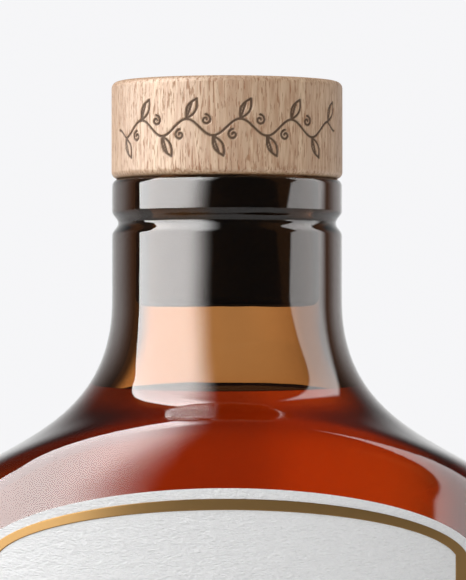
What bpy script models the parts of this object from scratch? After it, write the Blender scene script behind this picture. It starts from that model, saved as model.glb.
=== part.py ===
"""Aftershave bottle: an oval glass flask closed by a push-in stopper with a wooden head.

Metres, +Z up. The origin is at the centre of the foot, on the surface the bottle stands on.
The broad faces look along -Y, where the label is, and along +Y.
"""
import math

import bpy

MM = 0.001

# Outside of the flask
BODY_WIDTH = 61.3 * MM
BODY_DEPTH = 39.4 * MM
NECK_RADIUS = 11.95 * MM
SHOULDER_TOP = 83.6 * MM  # height at which the neck starts to flare
NECK_LENGTH = 12.6 * MM  # from there up to the rim
DROP_FRONT = 19.0 * MM  # how far the shoulder falls before the front wall stands upright
DROP_SIDE = 23.6 * MM
DROP_BEND = 2.4  # above 1 keeps the broad front high and drops late, near the sides
LEAD_IN_FRONT = 15.6 * MM  # how softly the shoulder leaves the neck
LEAD_IN_SIDE = 16.6 * MM
RUN_OUT_FRONT = 10.9 * MM  # how softly it meets the upright wall
RUN_OUT_SIDE = 8.9 * MM
HEEL_RADIUS = 4.0 * MM
FOOT_WIDTH = 2.4 * MM  # flat ring that the bottle stands on
PUNT_DEPTH = 2.2 * MM  # hollow under the bottle

# Neck details
GROOVE_BELOW_RIM = 4.6 * MM
GROOVE_HEIGHT = 2.5 * MM
GROOVE_DEPTH = 0.62 * MM
RIM_ROUND = 0.75 * MM
MOUTH_ROUND = 0.6 * MM

# Inside of the flask
BORE_RADIUS = 9.6 * MM
WALL = 2.3 * MM
FLOOR_THICKNESS = 4.2 * MM
INNER_HEEL_RADIUS = 6.0 * MM

# Contents
ULLAGE = 22.8 * MM  # from the rim down to the liquid's surface
LIQUID_GAP = 0.3 * MM

# Stopper
HEAD_RADIUS = 12.0 * MM
HEAD_HEIGHT = 10.0 * MM
HEAD_TOP_ROUND = 0.6 * MM
HEAD_BOTTOM_ROUND = 0.5 * MM
SEAT_GAP = 0.1 * MM  # between the head and the rim
SHANK_LENGTH = 13.2 * MM
SHANK_CLEARANCE = 0.07 * MM  # all round, in the bore
SHANK_END_ROUND = 0.9 * MM
SPIGOT_RADIUS = 5.2 * MM
SPIGOT_LENGTH = 5.5 * MM
GLUE_GAP = 0.08 * MM

# Label and its foil frame
LABEL_SIDE_MARGIN = 5.5 * MM  # from the label's edge to the side of the body, seen from the front
LABEL_TOP_MARGIN = 0.1 * MM  # from the end of the front shoulder
LABEL_FOOT_MARGIN = 3.5 * MM  # from the top of the heel
LABEL_ARCH_RISE = 7.75 * MM
LABEL_ARCH_OVERRUN = 0.3 * MM  # the arch is an ellipse this much wider than the label
LABEL_THICKNESS = 0.25 * MM
LABEL_GAP = 0.15 * MM
FOIL_INSET = 1.05 * MM
FOIL_WIDTH = 1.12 * MM
FOIL_THICKNESS = 0.15 * MM
FOIL_GAP = 0.1 * MM

# How far a quarter outline's handles reach, as a share of its half size
CIRCLE_REACH = 0.5523
BROAD_FACE_REACH = 0.64
NARROW_SIDE_REACH = 0.53

# Fineness
QUARTER_STEPS = 12
RING_STEPS = 4 * QUARTER_STEPS
SHOULDER_STEPS = 12
ROUND_STEPS = 4
GROOVE_STEPS = 8
DOME_STEPS = 4
LABEL_STEPS = 36
BISECTIONS = 40
SLOPE_STEP = 0.01 * MM  # over which a slope is measured
LABEL_SPREAD = math.radians(75)  # the wider, the closer the label's points stand near its sides
SHARP_ANGLE = math.radians(40)
EMPTY_SIZE = 10 * MM

# Heights that follow from the sizes above
RIM = SHOULDER_TOP + NECK_LENGTH
LIQUID_LEVEL = RIM - ULLAGE
LABEL_TOP = SHOULDER_TOP - DROP_FRONT - LABEL_TOP_MARGIN
LABEL_BOTTOM = HEEL_RADIUS + LABEL_FOOT_MARGIN
LABEL_HALF_WIDTH = BODY_WIDTH / 2 - LABEL_SIDE_MARGIN


def clear_scene():
    for old in list(bpy.data.objects):
        bpy.data.objects.remove(old, do_unlink=True)


def make_material(name, color, roughness, metallic=0.0, transmission=0.0, ior=1.5):
    material = bpy.data.materials.new(name)
    material.use_nodes = True
    material.diffuse_color = color
    shader = material.node_tree.nodes["Principled BSDF"]
    shader.inputs["Base Color"].default_value = color
    shader.inputs["Roughness"].default_value = roughness
    shader.inputs["Metallic"].default_value = metallic
    shader.inputs["Transmission Weight"].default_value = transmission
    shader.inputs["IOR"].default_value = ior
    return material


def make_object(name, vertices, edges, faces, material, collection, parent):
    mesh = bpy.data.meshes.new(name)
    mesh.from_pydata(vertices, edges, faces)
    mesh.materials.append(material)
    item = bpy.data.objects.new(name, mesh)
    collection.objects.link(item)
    item.parent = parent
    return item


def make_empty(name, height, collection):
    empty = bpy.data.objects.new(name, None)
    empty.location = (0, 0, height)
    empty.empty_display_size = EMPTY_SIZE
    collection.objects.link(empty)
    return empty


# Curves


def bezier(p0, p1, p2, p3, t):
    s = 1 - t
    return s**3 * p0 + 3 * s * s * t * p1 + 3 * s * t * t * p2 + t**3 * p3


def arc(center_r, center_z, radius, start, end, steps):
    """Points of a round corner, as (r, z), from one angle in degrees to another."""
    points = []
    for i in range(steps + 1):
        angle = math.radians(start + (end - start) * i / steps)
        points.append((center_r + radius * math.cos(angle), center_z + radius * math.sin(angle)))
    return points


def quarter_point(half_x, half_y, reach_x, reach_y, t):
    """Point of a quarter outline that starts on the X axis and ends on the Y axis."""
    x = bezier(half_x, half_x, half_x * reach_x, 0, t)
    y = bezier(0, half_y * reach_y, half_y, half_y, t)
    return x, y


def outline(half_x, half_y, reach_x, reach_y):
    """Closed outline, symmetric about both axes, with RING_STEPS points."""
    first = []
    for i in range(QUARTER_STEPS + 1):
        first.append(quarter_point(half_x, half_y, reach_x, reach_y, i / QUARTER_STEPS))
    back = first[:0:-1]
    points = list(first[:-1])
    points += [(-x, y) for x, y in back]
    points += [(-x, -y) for x, y in first[:-1]]
    points += [(x, -y) for x, y in back]
    return points


def circle(radius):
    return outline(radius, radius, CIRCLE_REACH, CIRCLE_REACH)


def body_outline(inset):
    """The body's cross-section, drawn in by inset all round."""
    half_x = BODY_WIDTH / 2 - inset
    half_y = BODY_DEPTH / 2 - inset
    return outline(half_x, half_y, BROAD_FACE_REACH, NARROW_SIDE_REACH)


def body_front_depth(x):
    """How far the body's broad face stands from the XZ plane at x, by bisection."""
    half_x, half_y = BODY_WIDTH / 2, BODY_DEPTH / 2
    low, high = 0.0, 1.0
    for _ in range(BISECTIONS):
        middle = (low + high) / 2
        here = quarter_point(half_x, half_y, BROAD_FACE_REACH, NARROW_SIDE_REACH, middle)[0]
        if here > abs(x):
            low = middle
        else:
            high = middle
    return quarter_point(half_x, half_y, BROAD_FACE_REACH, NARROW_SIDE_REACH, low)[1]


# Shoulder: every point of the neck's circle runs down an S-curve to a point of the body's outline


class Shoulder:
    """The shoulder's skin, or a surface at an even depth under it."""

    def __init__(self, neck_radius, depth):
        self.neck = circle(neck_radius)
        self.body = body_outline(depth)
        self.depth = depth
        self.front_reach = BODY_DEPTH / 2 - depth - neck_radius
        self.side_reach = BODY_WIDTH / 2 - depth - neck_radius

    def curve(self, i):
        """Reach, drop, lead-in and run-out of point i's S-curve, between the front's and the side's."""
        reach = math.dist(self.neck[i], self.body[i])
        share = max(0, (reach - self.front_reach) / (self.side_reach - self.front_reach))
        drop = DROP_FRONT + (DROP_SIDE - DROP_FRONT) * share**DROP_BEND
        lead_in = LEAD_IN_FRONT + (LEAD_IN_SIDE - LEAD_IN_FRONT) * share
        run_out = RUN_OUT_FRONT + (RUN_OUT_SIDE - RUN_OUT_FRONT) * share
        return reach, drop, lead_in, run_out

    def height(self, i, t):
        reach, drop, lead_in, run_out = self.curve(i)
        end = SHOULDER_TOP - drop
        skin = bezier(SHOULDER_TOP, SHOULDER_TOP - lead_in, end + run_out, end, t)
        s = 1 - t
        outward = 2 * reach * s * t
        downward = s * s * lead_in + 2 * s * t * (drop - lead_in - run_out) + t * t * run_out
        lean = math.atan2(outward, downward)
        return skin - self.depth * math.tan(lean / 2)

    def point(self, i, t):
        (neck_x, neck_y), (body_x, body_y) = self.neck[i], self.body[i]
        x = bezier(neck_x, neck_x, body_x, body_x, t)
        y = bezier(neck_y, neck_y, body_y, body_y, t)
        return x, y, self.height(i, t)

    def share_at_height(self, i, height):
        """How far along its S-curve point i reaches a height, by bisection."""
        low, high = 0.0, 1.0
        for _ in range(BISECTIONS):
            middle = (low + high) / 2
            if self.height(i, middle) > height:
                low = middle
            else:
                high = middle
        return low

    def rings(self, starts=None):
        """Rings from the neck, or from each point's own start, down to the upright wall."""
        starts = starts or [0.0] * RING_STEPS
        rings = []
        for k in range(SHOULDER_STEPS + 1):
            share = k / SHOULDER_STEPS
            ring = [self.point(i, s + (1 - s) * share) for i, s in enumerate(starts)]
            rings.append(ring)
        return rings


# Lofts


def level_ring(points, height):
    return [(x, y, height) for x, y in points]


def heel_rings(inset, bottom, radius):
    """Rounded edge between an upright wall and a level floor."""
    rings = []
    for i in range(ROUND_STEPS + 1):
        angle = math.pi / 2 * i / ROUND_STEPS
        drawn_in = inset + radius * (1 - math.cos(angle))
        height = bottom + radius * (1 - math.sin(angle))
        rings.append(level_ring(body_outline(drawn_in), height))
    return rings


def dome_rings(edge, height, rise):
    """Rings from an outline towards the axis over a shallow dome, without its summit."""
    rings = []
    for k in range(1, DOME_STEPS):
        share = 1 - k / DOME_STEPS
        lift = rise * (1 - share**2)
        rings.append([(x * share, y * share, height + lift) for x, y in edge])
    return rings


def loft(rings, first_pole, last_pole):
    """Closed skin over rings, from a point on the axis below, up the outside, to another point."""
    vertices = [first_pole]
    for ring in rings:
        vertices += ring
    vertices.append(last_pole)
    last = len(vertices) - 1
    faces = []
    for i in range(RING_STEPS):
        j = (i + 1) % RING_STEPS
        faces.append((0, 1 + j, 1 + i))
        for k in range(len(rings) - 1):
            near = 1 + k * RING_STEPS
            far = near + RING_STEPS
            faces.append((near + i, near + j, far + j, far + i))
        near = 1 + (len(rings) - 1) * RING_STEPS
        faces.append((near + i, near + j, last))
    return vertices, faces


# Glass flask


def neck_profile():
    """The neck's outer side from the flare up to the rim, as (radius, height)."""
    groove_middle = RIM - GROOVE_BELOW_RIM
    points = []
    for i in range(GROOVE_STEPS + 1):
        share = i / GROOVE_STEPS
        depth = GROOVE_DEPTH * (1 - math.cos(2 * math.pi * share)) / 2
        points.append((NECK_RADIUS - depth, groove_middle + GROOVE_HEIGHT * (share - 0.5)))
    points += arc(NECK_RADIUS - RIM_ROUND, RIM - RIM_ROUND, RIM_ROUND, 0, 90, ROUND_STEPS)
    points += arc(BORE_RADIUS + MOUTH_ROUND, RIM - MOUTH_ROUND, MOUTH_ROUND, 90, 180, ROUND_STEPS)
    return points


def make_glass_bottle(collection, parent):
    foot_inset = HEEL_RADIUS + FOOT_WIDTH
    punt_edge = body_outline(foot_inset)
    rings = dome_rings(punt_edge, 0, PUNT_DEPTH)[::-1]
    rings.append(level_ring(punt_edge, 0))
    rings += heel_rings(0, 0, HEEL_RADIUS)[::-1]
    rings += Shoulder(NECK_RADIUS, 0).rings()[::-1]
    rings += [level_ring(circle(radius), height) for radius, height in neck_profile()]
    rings += Shoulder(BORE_RADIUS, WALL).rings()
    rings += heel_rings(WALL, FLOOR_THICKNESS, INNER_HEEL_RADIUS)
    floor_edge = body_outline(WALL + INNER_HEEL_RADIUS)
    rings += dome_rings(floor_edge, FLOOR_THICKNESS, PUNT_DEPTH)
    bottom_pole = (0, 0, PUNT_DEPTH)
    floor_pole = (0, 0, FLOOR_THICKNESS + PUNT_DEPTH)
    vertices, faces = loft(rings, bottom_pole, floor_pole)
    glass = make_material("bottle_glass", (0.62, 0.36, 0.16, 1), 0.03, 0, 1.0, 1.5)
    bottle = make_object("glass_bottle", vertices, [], faces, glass, collection, parent)
    bottle.data.shade_smooth()
    bottle.data.set_sharp_from_angle(angle=SHARP_ANGLE)


# Liquid


def make_liquid(collection, parent):
    inset = WALL + LIQUID_GAP
    shoulder = Shoulder(BORE_RADIUS - LIQUID_GAP, inset)
    starts = [shoulder.share_at_height(i, LIQUID_LEVEL) for i in range(RING_STEPS)]
    floor = FLOOR_THICKNESS + LIQUID_GAP
    floor_edge = body_outline(inset + INNER_HEEL_RADIUS)
    rings = dome_rings(floor_edge, floor, PUNT_DEPTH)[::-1]
    rings += heel_rings(inset, floor, INNER_HEEL_RADIUS)[::-1]
    rings += shoulder.rings(starts)[::-1]
    vertices, faces = loft(rings, (0, 0, floor + PUNT_DEPTH), (0, 0, LIQUID_LEVEL))
    amber = make_material("aftershave_liquid", (0.55, 0.12, 0.01, 1), 0.02, 0, 1.0, 1.36)
    liquid = make_object("aftershave_liquid", vertices, [], faces, amber, collection, parent)
    liquid.data.shade_smooth()
    liquid.data.set_sharp_from_angle(angle=SHARP_ANGLE)


# Stopper


def make_turned(name, profile, material, collection, parent):
    """Solid of revolution about the parent's Z axis, from a profile run from top to bottom."""
    vertices = [(radius, 0, height) for radius, height in profile]
    edges = [(i, i + 1) for i in range(len(profile) - 1)]
    item = make_object(name, vertices, edges, [], material, collection, parent)
    screw = item.modifiers.new("turn", "SCREW")
    screw.steps = RING_STEPS
    screw.render_steps = RING_STEPS
    screw.use_merge_vertices = True
    screw.merge_threshold = 0.00001
    screw.use_smooth_shade = True
    return item


def make_stopper_head(collection, parent):
    """Wooden disc with a blind socket, drawn above the rim's height."""
    low = SEAT_GAP
    high = SEAT_GAP + HEAD_HEIGHT
    socket_radius = SPIGOT_RADIUS + GLUE_GAP
    socket_end = low + SPIGOT_LENGTH + GLUE_GAP
    profile = [(0, high)]
    profile += arc(HEAD_RADIUS - HEAD_TOP_ROUND, high - HEAD_TOP_ROUND, HEAD_TOP_ROUND, 90, 0, ROUND_STEPS)
    profile += arc(
        HEAD_RADIUS - HEAD_BOTTOM_ROUND, low + HEAD_BOTTOM_ROUND, HEAD_BOTTOM_ROUND, 0, -90, ROUND_STEPS
    )
    profile += [(socket_radius, low), (socket_radius, socket_end), (0, socket_end)]
    beech = make_material("beech_wood", (0.62, 0.44, 0.30, 1), 0.6)
    make_turned("stopper_head", profile, beech, collection, parent)


def make_stopper_shank(collection, parent):
    """Dark synthetic plug: a spigot glued into the head, over the part that fills the bore."""
    shank_radius = BORE_RADIUS - SHANK_CLEARANCE
    shoulder = SEAT_GAP - GLUE_GAP
    spigot_end = SEAT_GAP + SPIGOT_LENGTH
    profile = [(0, spigot_end), (SPIGOT_RADIUS, spigot_end), (SPIGOT_RADIUS, shoulder)]
    profile.append((shank_radius, shoulder))
    profile += arc(
        shank_radius - SHANK_END_ROUND, SHANK_END_ROUND - SHANK_LENGTH, SHANK_END_ROUND, 0, -90, ROUND_STEPS
    )
    profile.append((0, -SHANK_LENGTH))
    dark = make_material("shank_polymer", (0.012, 0.010, 0.009, 1), 0.5)
    make_turned("stopper_shank", profile, dark, collection, parent)


# Label


def arch_height(x, inset):
    """Height of the label's arched top at x, drawn in by inset."""
    half_width = LABEL_HALF_WIDTH + LABEL_ARCH_OVERRUN - inset
    rise = LABEL_ARCH_RISE - inset
    share = min(abs(x) / half_width, 1)
    return LABEL_TOP - LABEL_ARCH_RISE + rise * math.sqrt(1 - share**2)


def across(inset):
    """Places across the label, closer together near its sides, where the arch and body bend more."""
    half_width = LABEL_HALF_WIDTH - inset
    angles = [LABEL_SPREAD * (2 * i / LABEL_STEPS - 1) for i in range(LABEL_STEPS + 1)]
    return [half_width * math.sin(a) / math.sin(LABEL_SPREAD) for a in angles]


def on_front(x, height, gap):
    """Point at a small distance in front of the body's front face."""
    rise = body_front_depth(x + SLOPE_STEP) - body_front_depth(x - SLOPE_STEP)
    slope = rise / (2 * SLOPE_STEP)
    length = math.hypot(slope, 1)
    return x - slope / length * gap, -body_front_depth(x) - gap / length, height


def add_thickness(item, thickness):
    solidify = item.modifiers.new("thickness", "SOLIDIFY")
    solidify.thickness = thickness
    solidify.offset = 1
    solidify.use_even_offset = True


def make_front_label(collection, parent):
    vertices = []
    for x in across(0):
        vertices.append(on_front(x, LABEL_BOTTOM, LABEL_GAP))
        vertices.append(on_front(x, arch_height(x, 0), LABEL_GAP))
    faces = []
    for i in range(LABEL_STEPS):
        near = 2 * i
        faces.append((near, near + 2, near + 3, near + 1))
    paper = make_material("label_paper", (0.80, 0.80, 0.80, 1), 0.75)
    label = make_object("front_label", vertices, [], faces, paper, collection, parent)
    add_thickness(label, LABEL_THICKNESS)


def frame_loop(inset, gap):
    """The label's outline drawn in by inset: along the arch, then back along the bottom."""
    places = across(inset)
    top = [on_front(x, arch_height(x, inset), gap) for x in places]
    bottom = [on_front(x, LABEL_BOTTOM + inset, gap) for x in reversed(places)]
    return top + bottom


def make_foil_frame(collection, parent):
    gap = LABEL_GAP + LABEL_THICKNESS + FOIL_GAP
    outer = frame_loop(FOIL_INSET, gap)
    inner = frame_loop(FOIL_INSET + FOIL_WIDTH, gap)
    count = len(outer)
    faces = []
    for i in range(count):
        j = (i + 1) % count
        faces.append((i, count + i, count + j, j))
    gold = make_material("gold_foil", (0.83, 0.62, 0.33, 1), 0.28, 1.0)
    foil = make_object("foil_frame", outer + inner, [], faces, gold, collection, parent)
    add_thickness(foil, FOIL_THICKNESS)


def main():
    clear_scene()
    collection = bpy.data.collections.new("aftershave_bottle")
    bpy.context.scene.collection.children.link(collection)
    bottle = make_empty("bottle_axis", 0, collection)
    stopper = make_empty("stopper_axis", RIM, collection)
    make_glass_bottle(collection, bottle)
    make_liquid(collection, bottle)
    make_front_label(collection, bottle)
    make_foil_frame(collection, bottle)
    make_stopper_head(collection, stopper)
    make_stopper_shank(collection, stopper)


main()
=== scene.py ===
"""Looks of the aftershave bottle: glass, liquid, stopper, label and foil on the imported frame."""
import math

import bpy
import numpy as np
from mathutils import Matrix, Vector, noise


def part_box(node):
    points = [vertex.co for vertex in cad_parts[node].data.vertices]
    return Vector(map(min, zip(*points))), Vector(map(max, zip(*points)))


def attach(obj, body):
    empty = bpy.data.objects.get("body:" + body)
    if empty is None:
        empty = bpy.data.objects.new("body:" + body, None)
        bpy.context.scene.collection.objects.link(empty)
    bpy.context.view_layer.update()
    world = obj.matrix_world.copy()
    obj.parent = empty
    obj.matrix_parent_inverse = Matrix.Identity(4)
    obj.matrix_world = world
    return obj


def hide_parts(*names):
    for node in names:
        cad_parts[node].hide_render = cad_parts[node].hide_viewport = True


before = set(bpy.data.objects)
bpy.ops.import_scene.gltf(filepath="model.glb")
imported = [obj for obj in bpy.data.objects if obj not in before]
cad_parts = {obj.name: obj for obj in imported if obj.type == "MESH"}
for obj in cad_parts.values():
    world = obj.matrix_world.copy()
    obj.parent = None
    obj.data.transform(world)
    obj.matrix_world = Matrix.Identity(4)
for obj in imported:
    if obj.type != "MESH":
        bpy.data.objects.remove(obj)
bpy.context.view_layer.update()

MM = 0.001

# Sizes read from the frame
_, GLASS_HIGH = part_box("glass_bottle")
HEAD_LOW, HEAD_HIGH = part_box("stopper_head")
SHANK_LOW, SHANK_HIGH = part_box("stopper_shank")
LABEL_LOW, LABEL_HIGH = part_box("front_label")
_, LIQUID_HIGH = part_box("aftershave_liquid")
BODY_HALF_WIDTH = GLASS_HIGH.x
BODY_HALF_DEPTH = GLASS_HIGH.y
RIM = GLASS_HIGH.z
LIQUID_LEVEL = LIQUID_HIGH.z
HEAD_RADIUS = HEAD_HIGH.x
SHANK_RADIUS = SHANK_HIGH.x
LABEL_TOP = LABEL_HIGH.z
LABEL_BOTTOM = LABEL_LOW.z

# Sizes of the flask that a box can't give
NECK_RADIUS = 11.95 * MM
BORE_RADIUS = 9.6 * MM
SHOULDER_TOP = RIM - 12.6 * MM
DROP_FRONT = 19.0 * MM
DROP_SIDE = 23.6 * MM
DROP_BEND = 2.4  # above 1 keeps the broad front high and drops late, near the sides
LEAD_IN_FRONT = 15.6 * MM
LEAD_IN_SIDE = 16.6 * MM
RUN_OUT_FRONT = 10.9 * MM
RUN_OUT_SIDE = 8.9 * MM
HEEL_RADIUS = 4.0 * MM
FOOT_WIDTH = 2.4 * MM
PUNT_DEPTH = 2.2 * MM
GROOVE_BELOW_RIM = 4.6 * MM
GROOVE_HEIGHT = 2.5 * MM
GROOVE_DEPTH = 0.62 * MM
RIM_ROUND = 0.75 * MM
MOUTH_ROUND = 0.6 * MM
WALL = 2.3 * MM
FLOOR_THICKNESS = 4.2 * MM
INNER_HEEL_RADIUS = 6.0 * MM
CIRCLE_REACH = 0.5523
BROAD_FACE_REACH = 0.64
NARROW_SIDE_REACH = 0.53
RIPPLE_DEPTH = 0.03 * MM  # of the glass's inner wall
RIPPLES = ((170, 1.0), (420, 0.5))  # waves to the metre, and their strength

# Liquid
WETTING = 0.06 * MM  # the liquid reaches this far into the glass, so that no air film shows
MENISCUS_RISE = 0.3 * MM
MENISCUS_REACH = 0.4 * MM

# Stopper
GLUE_GAP = 0.08 * MM  # between head and shank in the frame, and closed here at the shank's seat
SEAT = HEAD_LOW.z - GLUE_GAP
SPIGOT_RADIUS = 5.2 * MM
SOCKET_RADIUS = SPIGOT_RADIUS + GLUE_GAP
SOCKET_RIM_WIDTH = 2 * MM  # the head's first ring outside the socket
SOCKET_END = SHANK_HIGH.z + GLUE_GAP
HEAD_ROUND = 0.7 * MM
SHANK_ROUND = 0.9 * MM

# Vine engraved on the head's side: along is the way round from the front, on the skin
VINE_MIDDLE = (HEAD_LOW.z + HEAD_HIGH.z) / 2 - 0.3 * MM
VINE_WAVE = 5.6 * MM
VINE_SWING = 0.85 * MM
VINE_HALF_LENGTH = 14.0 * MM
VINE_TAPER = 1.5 * MM
LEAF_ASIDE = 0.55 * MM
LEAF_MIDDLE = 1.05 * MM  # how far off the stem
LEAF_RIB = 1.6 * MM  # how far off the stem it ends
LEAF_LENGTH = 2.3 * MM
LEAF_WIDTH = 0.95 * MM
LEAF_LEAN = 0.5
CURL_OFFSET = 0.75 * MM
CURL_RADIUS = 0.55 * MM
CURL_TURNS = 1.2
CURL_TIGHTENING = 0.8
STROKE_HALF_WIDTH = 0.09 * MM
STROKE_SOFTNESS = 0.07 * MM
ENGRAVING_DEPTH = 0.10 * MM

# Label and foil
PAPER_GAP = 0.01 * MM
PAPER_THICKNESS = 0.20 * MM
LABEL_HALF_WIDTH = 25.15 * MM
LABEL_ARCH_RISE = 7.75 * MM
LABEL_ARCH_OVERRUN = 0.3 * MM
LABEL_SPREAD = math.radians(75)  # the wider, the closer the label's points stand near its sides
FOIL_INSET = 1.05 * MM
FOIL_WIDTH = 1.12 * MM
FOIL_RELIEF = 0.09 * MM
FOIL_ROOT = 0.02 * MM  # how deep the foil's edges reach into the paper

# Camera
EYE_DISTANCE = 504 * MM
EYE_HEIGHT = 74.5 * MM
VIEW_HEIGHT = 60.26 * MM  # what the view takes in, at the bottle's axis
AXIS_SHIFT = 0.623 * MM  # the bottle stands this far left of the middle of the view
EYE_DROP = 10.18 * MM  # the eye is this far below the middle of the view

FLOOR_RADIUS = 1.2
BACKDROP_COLOR = (0.92, 0.92, 0.935, 1)
WHITE = (1, 1, 1, 1)

# Fineness of the visible meshes
QUARTER_STEPS = 48
RING_STEPS = 4 * QUARTER_STEPS
SHOULDER_STEPS = 56
WALL_STEPS = 24
HEEL_STEPS = 10
DOME_STEPS = 12
GROOVE_STEPS = 28
ROUND_STEPS = 8
RIM_ROUND_STEPS = 10
SURFACE_STEPS = 30
HEAD_AROUND = 900
HEAD_UP = 130
HEAD_TOP_STEPS = 20
SHANK_AROUND = 160
SHANK_UP = 10
STEM_STEPS = 180
LEAF_STEPS = 12
CURL_STEPS = 36
LABEL_COLUMNS = 120
LABEL_ROWS = 90
FOIL_SIDE_ROWS = 60
HALVINGS = 30


# Materials


class Nodes:
    """Shorthand for building a node tree."""

    def __init__(self, tree):
        self.tree = tree

    def connect(self, socket, value):
        """Link a socket to an output, or set its own value."""
        if isinstance(value, bpy.types.NodeSocket):
            self.tree.links.new(value, socket)
        else:
            socket.default_value = value

    def feed(self, node, **inputs):
        """Fill a node's inputs by name, with an underscore for each space."""
        for name, value in inputs.items():
            self.connect(node.inputs[name.replace("_", " ")], value)

    def add(self, kind, settings=None, **inputs):
        node = self.tree.nodes.new(kind)
        for name, value in (settings or {}).items():
            setattr(node, name, value)
        self.feed(node, **inputs)
        return node

    def math(self, operation, *values):
        node = self.add("ShaderNodeMath", {"operation": operation})
        for socket, value in zip(node.inputs, values):
            self.connect(socket, value)
        return node.outputs[0]

    def product(self, result, *others):
        for value in others:
            result = self.math("MULTIPLY", result, value)
        return result

    def lit(self, total, *lights):
        """A base level plus the product of each light's share and brightness."""
        for share, brightness in lights:
            total = self.math("MULTIPLY_ADD", share, brightness, total)
        return total

    def line(self, value, slope, offset):
        """A number that changes evenly with a value."""
        return self.math("MULTIPLY_ADD", value, slope, offset)

    def fade(self, value, start, end, low=0.0, high=1.0):
        """Smooth step of a value from low at start to high at end."""
        node = self.add("ShaderNodeMapRange", {"interpolation_type": "SMOOTHSTEP"}, Value=value)
        self.feed(node, From_Min=start, From_Max=end, To_Min=low, To_Max=high)
        return node.outputs[0]

    def mix(self, factor, first, second):
        node = self.add("ShaderNodeMix", {"data_type": "RGBA"})
        for index, value in ((0, factor), (6, first), (7, second)):
            self.connect(node.inputs[index], value)
        return node.outputs[2]

    def stretched(self, scale, shift=(0, 0, 0)):
        """Object coordinates in metres, multiplied per axis and shifted."""
        place = self.add("ShaderNodeTexCoord").outputs["Object"]
        return self.add("ShaderNodeMapping", Vector=place, Scale=scale, Location=shift).outputs[0]

    def grain(self, scale, detail):
        """Noise with this many spots to the metre along x, y and z."""
        place = self.stretched(scale)
        return self.add("ShaderNodeTexNoise", Vector=place, Scale=1.0, Detail=detail).outputs[0]

    def bump(self, shader, height, strength, distance):
        bump = self.add("ShaderNodeBump", Strength=strength, Distance=distance, Height=height)
        self.feed(shader, Normal=bump.outputs[0])


def new_material(name, **inputs):
    material = bpy.data.materials.new(name)
    material.use_nodes = True
    nodes = Nodes(material.node_tree)
    shader = material.node_tree.nodes["Principled BSDF"]
    nodes.feed(shader, **inputs)
    return material, nodes, shader


def clear_material(name, ior, tint, density):
    """Smooth clear body that absorbs light on its way through it."""
    material, nodes, shader = new_material(
        name, Base_Color=WHITE, Transmission_Weight=1, IOR=ior, Roughness=0.0
    )
    absorb = nodes.add("ShaderNodeVolumeAbsorption", Color=tint, Density=density)
    nodes.feed(material.node_tree.nodes["Material Output"], Volume=absorb.outputs[0])
    return material, nodes, shader


def glass_material():
    material, nodes, shader = clear_material("bottle_glass", 1.5, (0.766, 0.50, 0.12, 1), 700.0)
    nodes.bump(shader, nodes.grain((160, 160, 110), 1.0), 0.12, 0.0004)
    return material


def liquid_material():
    return clear_material("aftershave_liquid", 1.36, (0.944, 0.61, 0.12, 1), 160.0)[0]


def beech_material():
    material, nodes, shader = new_material("beech_wood", Roughness=0.5, IOR=1.8)
    fibre = nodes.grain((3900, 3900, 330), 5.0)
    band = nodes.grain((900, 900, 20), 4.0)
    fleck = nodes.grain((5600, 5600, 760), 2.0)
    tone = nodes.fade(band, 0.36, 0.64)
    base = nodes.mix(tone, (0.53, 0.32, 0.175, 1), (0.70, 0.48, 0.29, 1))
    pith = nodes.stretched((1, 1, 0.02), (0.016, 0.021, 0))
    rings = nodes.add(
        "ShaderNodeTexWave",
        {"wave_type": "RINGS", "rings_direction": "Z", "wave_profile": "SAW"},
        Vector=pith, Scale=230.0, Distortion=1.6, Detail=2.0,
    )
    late_wood = nodes.fade(rings.outputs["Fac"], 0.55, 1.0, 0, 0.3)
    base = nodes.mix(late_wood, base, (0.47, 0.26, 0.125, 1))
    threads = nodes.fade(fibre, 0.36, 0.60)
    base = nodes.mix(threads, (0.45, 0.23, 0.10, 1), base)
    marks = nodes.fade(fleck, 0.56, 0.64)
    base = nodes.mix(nodes.product(marks, 0.5), base, (0.24, 0.08, 0.028, 1))
    burn = nodes.add("ShaderNodeAttribute", {"attribute_name": "burn"}).outputs["Fac"]
    base = nodes.mix(nodes.product(burn, 0.92), base, (0.085, 0.05, 0.03, 1))
    dull = nodes.math("MAXIMUM", nodes.product(marks, 0.6), nodes.product(burn, 0.85))
    gloss = nodes.math("SUBTRACT", 1.0, dull)
    nodes.feed(shader, Base_Color=base, Specular_IOR_Level=gloss)
    nodes.bump(shader, nodes.math("SUBTRACT", fibre, marks), 0.5, 0.00007)
    return material


def shank_material():
    material, nodes, shader = new_material("shank_polymer", Base_Color=(0.012, 0.010, 0.009, 1))
    grain = nodes.grain((3000, 3000, 3000), 2.0)
    nodes.feed(shader, Roughness=nodes.fade(grain, 0.3, 0.7, 0.45, 0.6))
    nodes.bump(shader, grain, 0.3, 0.00005)
    return material


def paper_material():
    material, nodes, shader = new_material(
        "label_paper", Roughness=0.6, IOR=1.6, Specular_IOR_Level=1.0
    )
    felt = nodes.grain((2100, 2100, 5600), 2.0)
    waves = nodes.grain((600, 600, 1500), 2.0)
    shade = nodes.fade(felt, 0.3, 0.7)
    base = nodes.mix(shade, (0.80, 0.80, 0.805, 1), (0.84, 0.84, 0.84, 1))
    nodes.feed(shader, Base_Color=base)
    nodes.bump(shader, nodes.math("ADD", felt, waves), 0.85, 0.00021)
    return material


def foil_material():
    material, nodes, shader = new_material(
        "gold_foil", Base_Color=(0.29, 0.172, 0.066, 1), Metallic=1
    )
    grain = nodes.grain((2200, 2200, 3000), 3.0)
    nodes.feed(shader, Roughness=nodes.fade(grain, 0.3, 0.7, 0.30, 0.37))
    nodes.bump(shader, grain, 0.08, 0.00002)
    return material


# Curves and sections, as the frame's own solids have them


def bezier(p0, p1, p2, p3, t):
    s = 1 - t
    return s**3 * p0 + 3 * s * s * t * p1 + 3 * s * t * t * p2 + t**3 * p3


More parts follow.
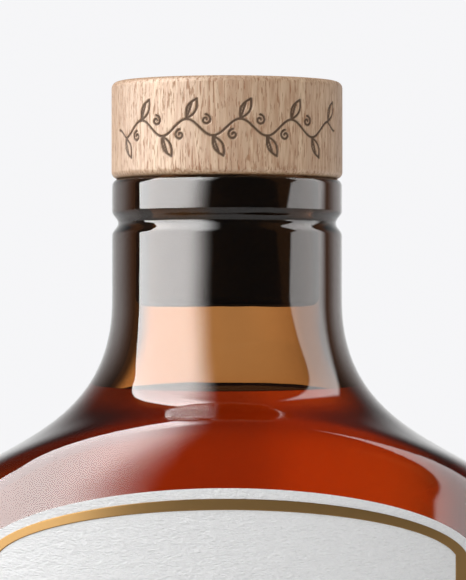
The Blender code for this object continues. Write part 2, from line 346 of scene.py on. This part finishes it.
def arc(center_r, center_z, radius, start, end, steps=ROUND_STEPS):
    points = []
    for i in range(steps + 1):
        angle = math.radians(start + (end - start) * i / steps)
        points.append((center_r + radius * math.cos(angle), center_z + radius * math.sin(angle)))
    return points


def last_share(holds):
    """Largest share from 0 to 1 for which a test holds, when it holds for all smaller ones."""
    low, high = 0.0, 1.0
    for _ in range(HALVINGS):
        middle = (low + high) / 2
        if holds(middle):
            low = middle
        else:
            high = middle
    return low


def quarter_point(half_x, half_y, reach_x, reach_y, t):
    x = bezier(half_x, half_x, half_x * reach_x, 0, t)
    y = bezier(0, half_y * reach_y, half_y, half_y, t)
    return x, y


def body_point(t, inset=0):
    """Point of the body's outline, from its side at 0 to the middle of its back at 1."""
    half_x, half_y = BODY_HALF_WIDTH - inset, BODY_HALF_DEPTH - inset
    return quarter_point(half_x, half_y, BROAD_FACE_REACH, NARROW_SIDE_REACH, t)


def mirrored(quarter):
    """Closed outline from the points of its first quarter."""
    back = quarter[:0:-1]
    points = quarter[:-1]
    points += [(-x, y) for x, y in back]
    points += [(-x, -y) for x, y in quarter[:-1]]
    points += [(x, -y) for x, y in back]
    return points


def circle(radius):
    shape = (radius, radius, CIRCLE_REACH, CIRCLE_REACH)
    return mirrored([quarter_point(*shape, i / QUARTER_STEPS) for i in range(QUARTER_STEPS + 1)])


def body_outline(inset):
    return mirrored([body_point(i / QUARTER_STEPS, inset) for i in range(QUARTER_STEPS + 1)])


class Shoulder:
    """The shoulder's skin, or a surface at an even depth under it."""

    def __init__(self, neck_radius, depth):
        self.neck = circle(neck_radius)
        self.body = body_outline(depth)
        self.depth = depth
        self.front_reach = BODY_HALF_DEPTH - depth - neck_radius
        self.side_reach = BODY_HALF_WIDTH - depth - neck_radius

    def curve(self, i):
        """Reach, drop, lead-in and run-out of point i's S-curve, between the front's and side's."""
        reach = math.dist(self.neck[i], self.body[i])
        share = max(0, (reach - self.front_reach) / (self.side_reach - self.front_reach))
        drop = DROP_FRONT + (DROP_SIDE - DROP_FRONT) * share**DROP_BEND
        lead_in = LEAD_IN_FRONT + (LEAD_IN_SIDE - LEAD_IN_FRONT) * share
        run_out = RUN_OUT_FRONT + (RUN_OUT_SIDE - RUN_OUT_FRONT) * share
        return reach, drop, lead_in, run_out

    def height(self, i, t):
        reach, drop, lead_in, run_out = self.curve(i)
        end = SHOULDER_TOP - drop
        skin = bezier(SHOULDER_TOP, SHOULDER_TOP - lead_in, end + run_out, end, t)
        s = 1 - t
        outward = 2 * reach * s * t
        downward = s * s * lead_in + 2 * s * t * (drop - lead_in - run_out) + t * t * run_out
        lean = math.atan2(outward, downward)
        return skin - self.depth * math.tan(lean / 2)

    def point(self, i, t):
        (neck_x, neck_y), (body_x, body_y) = self.neck[i], self.body[i]
        x = bezier(neck_x, neck_x, body_x, body_x, t)
        y = bezier(neck_y, neck_y, body_y, body_y, t)
        return x, y, self.height(i, t)

    def rings(self, below=None):
        """Rings from the neck down, or from a height below it, to the body's wall."""
        starts = [0.0] * RING_STEPS
        if below is not None:
            starts = [last_share(lambda t: self.height(i, t) > below) for i in range(RING_STEPS)]
        rings = []
        for k in range(SHOULDER_STEPS + 1):
            share = k / SHOULDER_STEPS
            rings.append([self.point(i, s + (1 - s) * share) for i, s in enumerate(starts)])
        return rings


def level_ring(points, height):
    return [(x, y, height) for x, y in points]


def heel_rings(inset, bottom, radius):
    rings = []
    for i in range(HEEL_STEPS + 1):
        angle = math.pi / 2 * i / HEEL_STEPS
        drawn_in = inset + radius * (1 - math.cos(angle))
        rings.append(level_ring(body_outline(drawn_in), bottom + radius * (1 - math.sin(angle))))
    return rings


def dome_rings(edge, height, rise):
    rings = []
    for k in range(1, DOME_STEPS):
        share = 1 - k / DOME_STEPS
        lift = rise * (1 - share**2)
        rings.append([(x * share, y * share, height + lift) for x, y in edge])
    return rings


def loft(rings, first_pole, last_pole):
    """Closed skin over rings that run up the outside, from one point on the axis to another."""
    steps = len(rings[0])
    vertices = [first_pole]
    for ring in rings:
        vertices += ring
    vertices.append(last_pole)
    last = len(vertices) - 1
    faces = []
    for i in range(steps):
        j = (i + 1) % steps
        faces.append((0, 1 + j, 1 + i))
        for k in range(len(rings) - 1):
            near = 1 + k * steps
            far = near + steps
            faces.append((near + i, near + j, far + j, far + i))
        near = 1 + (len(rings) - 1) * steps
        faces.append((near + i, near + j, last))
    return vertices, faces


def make_piece(name, vertices, faces, material, body, node, smooth_angle=40):
    mesh = bpy.data.meshes.new(name)
    mesh.from_pydata(vertices, [], faces)
    mesh.materials.append(material)
    mesh.shade_smooth()
    mesh.set_sharp_from_angle(angle=math.radians(smooth_angle))
    piece = bpy.data.objects.new(name, mesh)
    bpy.context.scene.collection.objects.link(piece)
    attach(piece, body)
    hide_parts(node)
    return piece


# Glass flask


def neck_profile():
    groove_middle = RIM - GROOVE_BELOW_RIM
    points = []
    for i in range(GROOVE_STEPS + 1):
        share = i / GROOVE_STEPS
        depth = GROOVE_DEPTH * (1 - math.cos(2 * math.pi * share)) / 2
        points.append((NECK_RADIUS - depth, groove_middle + GROOVE_HEIGHT * (share - 0.5)))
    points += arc(NECK_RADIUS - RIM_ROUND, RIM - RIM_ROUND, RIM_ROUND, 0, 90, RIM_ROUND_STEPS)
    points += arc(BORE_RADIUS + MOUTH_ROUND, RIM - MOUTH_ROUND, MOUTH_ROUND, 90, 180)
    return points


def rippled(rings):
    """Inner wall with the soft waviness of blown glass."""
    wavy = []
    for ring in rings:
        row = []
        for x, y, z in ring:
            place = Vector((x, y, z))
            lift = sum(strength * noise.noise(place * waves) for waves, strength in RIPPLES)
            grow = 1 + RIPPLE_DEPTH * lift / max(math.hypot(x, y), MM)
            row.append((x * grow, y * grow, z))
        wavy.append(row)
    return wavy


def cavity_rings(growth=0.0, below=None):
    """The hollow from the bore's foot, or from a height below it, down to the floor's edge."""
    inset = WALL - growth
    floor = FLOOR_THICKNESS - growth
    floor_edge = floor + INNER_HEEL_RADIUS
    rings = Shoulder(BORE_RADIUS + growth, inset).rings(below)
    wall_top = rings[-1]
    for k in range(1, WALL_STEPS):
        share = k / WALL_STEPS
        rings.append([(x, y, z + (floor_edge - z) * share) for x, y, z in wall_top])
    rings += heel_rings(inset, floor, INNER_HEEL_RADIUS)
    rings += dome_rings(body_outline(inset + INNER_HEEL_RADIUS), floor, PUNT_DEPTH)
    return rings


def make_glass():
    punt_edge = body_outline(HEEL_RADIUS + FOOT_WIDTH)
    rings = dome_rings(punt_edge, 0, PUNT_DEPTH)[::-1]
    rings.append(level_ring(punt_edge, 0))
    rings += heel_rings(0, 0, HEEL_RADIUS)[::-1]
    rings += Shoulder(NECK_RADIUS, 0).rings()[::-1]
    rings += [level_ring(circle(radius), height) for radius, height in neck_profile()]
    rings += rippled(cavity_rings())
    vertices, faces = loft(rings, (0, 0, PUNT_DEPTH), (0, 0, FLOOR_THICKNESS + PUNT_DEPTH))
    glass = make_piece("glass_flask", vertices, faces, glass_material(), "bottle", "glass_bottle")


# Liquid


def make_liquid():
    rings = cavity_rings(WETTING, LIQUID_LEVEL + MENISCUS_RISE)[::-1]
    edge = rings[-1]
    for k in range(1, SURFACE_STEPS):
        share = (k / SURFACE_STEPS) ** 2
        row = []
        for x, y, _ in edge:
            away = math.hypot(x, y) * share
            rise = MENISCUS_RISE * math.exp(-away / MENISCUS_REACH)
            row.append((x * (1 - share), y * (1 - share), LIQUID_LEVEL + rise))
        rings.append(row)
    floor = FLOOR_THICKNESS - WETTING + PUNT_DEPTH
    vertices, faces = loft(rings, (0, 0, floor), (0, 0, LIQUID_LEVEL))
    amber = liquid_material()
    liquid = make_piece("amber_liquid", vertices, faces, amber, "bottle", "aftershave_liquid", 70)


# Stopper


def turned(profile, steps):
    """Rings of a solid of revolution, from the (radius, height) points of its profile."""
    rings = []
    for radius, height in profile:
        ring = []
        for i in range(steps):
            angle = 2 * math.pi * i / steps
            ring.append((radius * math.cos(angle), radius * math.sin(angle), height))
        rings.append(ring)
    return rings


def leaf(center, lean):
    """Almond outline of two arched sides, leaning from the upright, as points (along, height)."""
    points = []
    for side in (1, -1):
        for i in range(LEAF_STEPS + 1):
            share = i / LEAF_STEPS if side == 1 else 1 - i / LEAF_STEPS
            u = (share - 0.5) * LEAF_LENGTH
            v = side * LEAF_WIDTH / 2 * math.sin(math.pi * share)
            along = center[0] + u * math.sin(lean) + v * math.cos(lean)
            points.append((along, center[1] + u * math.cos(lean) - v * math.sin(lean)))
    return points


def curl(center, side):
    """Spiral tendril that winds in to its center."""
    points = []
    for i in range(CURL_STEPS + 1):
        share = i / CURL_STEPS
        angle = math.pi / 2 + side * 2 * math.pi * CURL_TURNS * share
        reach = CURL_RADIUS * (1 - CURL_TIGHTENING * share)
        points.append((center[0] + reach * math.cos(angle), center[1] + reach * math.sin(angle)))
    return points


def engraving_strokes():
    """A running vine with leaves and tendrils, as polylines along the head's side, in metres."""
    stem = []
    for i in range(STEM_STEPS + 1):
        along = VINE_HALF_LENGTH * (2 * i / STEM_STEPS - 1)
        fade = min(1, (VINE_HALF_LENGTH - abs(along)) / VINE_TAPER)
        wave = math.sin(2 * math.pi * along / VINE_WAVE)
        stem.append((along, VINE_MIDDLE + VINE_SWING * fade * wave))
    strokes = [stem]
    bends = range(-5, 5)
    for k in bends:
        along = VINE_WAVE / 2 * (k + 0.5)
        side = 1 if k % 2 == 0 else -1
        foot = (along, VINE_MIDDLE + side * VINE_SWING)
        strokes.append(leaf((along + LEAF_ASIDE, foot[1] + side * LEAF_MIDDLE), side * LEAF_LEAN))
        strokes.append([foot, (along + LEAF_ASIDE, foot[1] + side * LEAF_RIB)])
        if k not in (bends[0], bends[-1]):
            strokes.append(curl((along - CURL_OFFSET, VINE_MIDDLE - side * CURL_OFFSET), side))
    return strokes


def distance_to(strokes, along, height):
    """Distance of every point to the nearest stroke, for arrays of places."""
    nearest = np.full(along.shape, 1.0)
    for stroke in strokes:
        for (ax, az), (bx, bz) in zip(stroke, stroke[1:]):
            dx, dz = bx - ax, bz - az
            length = max(dx * dx + dz * dz, 1e-18)
            share = np.clip(((along - ax) * dx + (height - az) * dz) / length, 0, 1)
            away = np.hypot(along - ax - share * dx, height - az - share * dz)
            nearest = np.minimum(nearest, away)
    return nearest


def make_head():
    low, high = SEAT, HEAD_HIGH.z
    flat_radius = HEAD_RADIUS - HEAD_ROUND
    profile = [(SOCKET_RADIUS / 2, SOCKET_END), (SOCKET_RADIUS, SOCKET_END)]
    profile += [(SOCKET_RADIUS, low), (SOCKET_RADIUS + SOCKET_RIM_WIDTH, low)]
    profile += arc(flat_radius, low + HEAD_ROUND, HEAD_ROUND, -90, 0)
    first = len(profile)
    side_height = high - low - 2 * HEAD_ROUND
    for k in range(1, HEAD_UP):
        profile.append((HEAD_RADIUS, low + HEAD_ROUND + side_height * k / HEAD_UP))
    last = len(profile)
    profile += arc(flat_radius, high - HEAD_ROUND, HEAD_ROUND, 0, 90)
    profile += [(flat_radius * (1 - k / HEAD_TOP_STEPS), high) for k in range(1, HEAD_TOP_STEPS)]
    vertices, faces = loft(turned(profile, HEAD_AROUND), (0, 0, SOCKET_END), (0, 0, high))

    places = np.array(vertices)
    side = slice(1 + first * HEAD_AROUND, 1 + last * HEAD_AROUND)
    x, y, z = places[side].T
    along = HEAD_RADIUS * np.arctan2(x, -y)
    away = distance_to(engraving_strokes(), along, z)
    cut = 1 - np.clip((away - STROKE_HALF_WIDTH) / STROKE_SOFTNESS, 0, 1)
    cut = cut * cut * (3 - 2 * cut)
    shrink = 1 - ENGRAVING_DEPTH * cut / HEAD_RADIUS
    places[side, 0] *= shrink
    places[side, 1] *= shrink
    burn = np.zeros(len(vertices), dtype=np.float32)
    burn[side] = cut

    vertices = places.tolist()
    head = make_piece("beech_head", vertices, faces, beech_material(), "stopper", "stopper_head")
    head.data.attributes.new("burn", "FLOAT", "POINT").data.foreach_set("value", burn)


def make_shank():
    low, high = SHANK_LOW.z, SHANK_HIGH.z
    profile = [(SHANK_RADIUS * 0.3, low), (SHANK_RADIUS * 0.6, low)]
    profile += arc(SHANK_RADIUS - SHANK_ROUND, low + SHANK_ROUND, SHANK_ROUND, -90, 0)
    profile += [(SHANK_RADIUS, low + (SEAT - low) * k / SHANK_UP) for k in range(2, SHANK_UP + 1)]
    profile += [(SPIGOT_RADIUS, SEAT), (SPIGOT_RADIUS, high)]
    vertices, faces = loft(turned(profile, SHANK_AROUND), (0, 0, low), (0, 0, high))
    shank = make_piece("dark_shank", vertices, faces, shank_material(), "stopper", "stopper_shank")


# Label and foil


def front_depth(x):
    """How far the front of the body stands off its middle at x."""
    return body_point(last_share(lambda t: body_point(t)[0] > abs(x)))[1]


def on_front(x, height, gap):
    """Point at a gap outside the front of the body."""
    step = 0.01 * MM
    slope = (front_depth(x + step) - front_depth(x - step)) / (2 * step)
    length = math.hypot(slope, 1)
    return x - slope / length * gap, -front_depth(x) - gap / length, height


def arch_height(x, inset):
    """Height of the label's arched top at x, drawn in by inset."""
    half_width = LABEL_HALF_WIDTH + LABEL_ARCH_OVERRUN - inset
    share = min(abs(x) / half_width, 1)
    return LABEL_TOP - LABEL_ARCH_RISE + (LABEL_ARCH_RISE - inset) * math.sqrt(1 - share**2)


def across(inset):
    """Places across the label, closer together near its sides, where the arch bends more."""
    half_width = LABEL_HALF_WIDTH - inset
    angles = [LABEL_SPREAD * (2 * i / LABEL_COLUMNS - 1) for i in range(LABEL_COLUMNS + 1)]
    return [half_width * math.sin(a) / math.sin(LABEL_SPREAD) for a in angles]


def make_label():
    columns, rows = LABEL_COLUMNS, LABEL_ROWS
    vertices, faces = [], []
    for gap in (PAPER_GAP, PAPER_GAP + PAPER_THICKNESS):
        for x in across(0):
            tall = arch_height(x, 0) - LABEL_BOTTOM
            vertices += [on_front(x, LABEL_BOTTOM + tall * r / rows, gap) for r in range(rows + 1)]
    column = rows + 1
    sheet = (columns + 1) * column
    for c in range(columns):
        for r in range(rows):
            a = c * column + r
            b = a + column
            faces.append((a, a + 1, b + 1, b))
            faces.append((sheet + a, sheet + b, sheet + b + 1, sheet + a + 1))
    rim = [c * column for c in range(columns)]
    rim += [columns * column + r for r in range(rows)]
    rim += [c * column + rows for c in range(columns, 0, -1)]
    rim += list(range(rows, 0, -1))
    for i, a in enumerate(rim):
        b = rim[(i + 1) % len(rim)]
        faces.append((a, b, sheet + b, sheet + a))
    paper = paper_material()
    label = make_piece("paper_label", vertices, faces, paper, "bottle", "front_label", 50)


def frame_loop(inset, gap):
    """The label's outline, drawn in by inset, at a gap off the glass."""
    places = across(inset)
    loop = [on_front(x, arch_height(x, inset), gap) for x in places]
    side = LABEL_HALF_WIDTH - inset
    low, high = LABEL_BOTTOM + inset, arch_height(side, inset)
    shares = [r / FOIL_SIDE_ROWS for r in range(1, FOIL_SIDE_ROWS)]
    loop += [on_front(side, high + (low - high) * share, gap) for share in shares]
    loop += [on_front(x, low, gap) for x in reversed(places)]
    loop += [on_front(-side, low + (high - low) * share, gap) for share in shares]
    return loop


def foil_section():
    """The foil's section as (across, lift), with softly rounded upper edges."""
    rounding = ((0.0, 0.5), (0.025, 0.88), (0.06, 1.0), (0.11, 1.0), (0.5, 1.0))
    section = [(0.0, -FOIL_ROOT)]
    section += [(share * FOIL_WIDTH, lift * FOIL_RELIEF) for share, lift in rounding]
    return section + [(FOIL_WIDTH - off, lift) for off, lift in reversed(section[:-1])]


def make_foil():
    paper_top = PAPER_GAP + PAPER_THICKNESS
    loops = [frame_loop(FOIL_INSET + off, paper_top + lift) for off, lift in foil_section()]
    count = len(loops[0])
    vertices = [point for loop in loops for point in loop]
    faces = []
    for k in range(len(loops)):
        near = k * count
        far = (k + 1) % len(loops) * count
        for i in range(count):
            j = (i + 1) % count
            faces.append((near + i, far + i, far + j, near + j))
    foil = make_piece("gold_frame", vertices, faces, foil_material(), "bottle", "foil_frame", 50)


# Studio


def make_floor():
    bpy.ops.mesh.primitive_circle_add(
        vertices=128, radius=FLOOR_RADIUS, fill_type="NGON", location=(0, 0, 0)
    )
    floor = bpy.context.object
    floor.name = "floor"
    pale = new_material("studio_floor", Base_Color=(0.80, 0.80, 0.80, 1), Roughness=0.9)[0]
    floor.data.materials.append(pale)
    floor.visible_transmission = False


def left_softbox(nodes, x, y, z):
    """Tall box on the left, which fades in from the front and ends sharply at the back."""
    dark_until = nodes.line(z, 0.20, -0.24)
    bright_from = nodes.line(z, 0.42, -0.74)
    bright_from = nodes.math("ADD", bright_from, nodes.fade(y, -0.05, 0.12, 0, 0.18))
    widening = nodes.fade(z, 0.58, 0.83, 0, 0.20)
    back_edge = nodes.math("ADD", widening, nodes.fade(z, 0.1, 0.5, 0.145, 0.095))
    back_edge = nodes.product(back_edge, nodes.fade(z, 1.0, 0.97, 0.4, 1))
    in_front = nodes.math("LESS_THAN", y, back_edge)
    return nodes.product(nodes.fade(x, dark_until, bright_from), in_front)


def right_softbox(nodes, x, y, z):
    """Dimmer box on the right, cut off aslant above."""
    slanted = nodes.line(z, -1.2, 1.3)
    ends = nodes.math("MINIMUM", 0.50, slanted)
    starts = nodes.math("MINIMUM", nodes.line(z, 0.3, 0.24), nodes.math("ADD", slanted, -0.07))
    front_edge = nodes.line(z, 0.6, -0.47)
    past_front = nodes.fade(nodes.math("SUBTRACT", y, front_edge), 0, 0.06)
    return nodes.product(past_front, nodes.fade(y, ends, starts), nodes.fade(x, 0.2, 0.32))


def room_behind(nodes, x, z, turn):
    """What shows through the glass: the pale room, brightest behind the left, dim low down."""
    room = nodes.product(
        nodes.fade(x, 0.0, -0.10, 0.88, 1.3),
        nodes.fade(x, -0.19, -0.44, 1, 0.12),
        nodes.fade(x, 0.06, 0.28, 1, 0.5),
    )
    aside = nodes.math("PINGPONG", turn, 90)
    room = nodes.math("MAXIMUM", room, nodes.fade(aside, 60, 80, 0, 0.95))
    return nodes.product(
        room,
        nodes.fade(z, -0.28, -0.10, 0.76, 1),
        nodes.fade(z, -0.58, -0.39, 0.32, 1),
        nodes.fade(z, -0.78, -0.56, 0.40, 1),
    )


def make_world():
    """A studio with a white backdrop, a tall left softbox, a dimmer right one and a dark front.

    A ray's direction says what it meets: x, y and z from -1 to 1, the turn from the front and the
    rise from the horizon in degrees.
    """
    world = bpy.data.worlds.new("studio")
    bpy.context.scene.world = world
    world.use_nodes = True
    nodes = Nodes(world.node_tree)
    direction = nodes.add("ShaderNodeTexCoord").outputs["Generated"]
    x, y, z = nodes.add("ShaderNodeSeparateXYZ", Vector=direction).outputs
    turn = nodes.math("DEGREES", nodes.math("ARCTAN2", x, nodes.product(y, -1)))
    rise = nodes.math("DEGREES", nodes.math("ARCSINE", z))
    left = left_softbox(nodes, x, y, z)
    right = right_softbox(nodes, x, y, z)
    behind = nodes.math("MAXIMUM", nodes.fade(turn, 116, 140), nodes.fade(turn, -104, -134))
    behind = nodes.product(behind, nodes.fade(rise, 34, 4))
    above = nodes.fade(rise, 30, 70)
    panel = nodes.product(nodes.fade(turn, -20, -44), nodes.fade(turn, -140, -105))
    panel = nodes.product(panel, nodes.fade(rise, 80, 60))
    fill = nodes.product(nodes.fade(turn, -110, -80), nodes.fade(turn, 40, 0))

    # Mirror reflections on the outside of the glass
    mirror = nodes.lit(0.06, (left, 11.8), (right, 4.1), (behind, 0.87))
    # Blurred reflections in wood, paper and foil
    sheen = nodes.lit(0.24, (panel, 4.6), (right, 0.3), (behind, 0.45))
    # Light that falls on rough surfaces
    soft = nodes.lit(0.26, (fill, 0.72), (above, 0.9), (panel, 0.25))
    # Reflections inside the glass, dimmed so that they don't wash out its colour
    inner_mirror = nodes.product(mirror, 0.12)

    path = nodes.add("ShaderNodeLightPath")
    inside = nodes.math("GREATER_THAN", path.outputs["Transmission Depth"], 0.5)
    bounced = nodes.math("GREATER_THAN", path.outputs["Glossy Depth"], 0.5)
    through = nodes.mix(bounced, room_behind(nodes, x, z, turn), inner_mirror)
    seen = nodes.mix(path.outputs["Is Singular Ray"], sheen, mirror)
    seen = nodes.mix(inside, seen, through)
    seen = nodes.mix(path.outputs["Is Diffuse Ray"], seen, soft)
    seen = nodes.mix(path.outputs["Is Camera Ray"], seen, BACKDROP_COLOR)
    nodes.feed(world.node_tree.nodes["Background"], Color=seen, Strength=1.0)
    world.cycles.sampling_method = "NONE"


def make_camera():
    camera = bpy.data.cameras.new("camera")
    camera.sensor_width = 36  # spans the picture's longer side, its height
    camera.lens = camera.sensor_width * EYE_DISTANCE / VIEW_HEIGHT
    camera.clip_start = 0.01
    camera.clip_end = 20
    eye = bpy.data.objects.new("camera", camera)
    bpy.context.scene.collection.objects.link(eye)
    eye.location = (AXIS_SHIFT, -EYE_DISTANCE, EYE_HEIGHT)
    tilt = math.atan(EYE_DROP / EYE_DISTANCE)
    eye.rotation_euler = (math.pi / 2 + tilt, 0, 0)
    bpy.context.scene.camera = eye


make_camera()
make_world()
make_floor()
make_glass()
make_liquid()
make_head()
make_shank()
make_label()
make_foil()

scene = bpy.context.scene
scene.view_settings.view_transform = "Standard"
scene.cycles.use_denoising = True
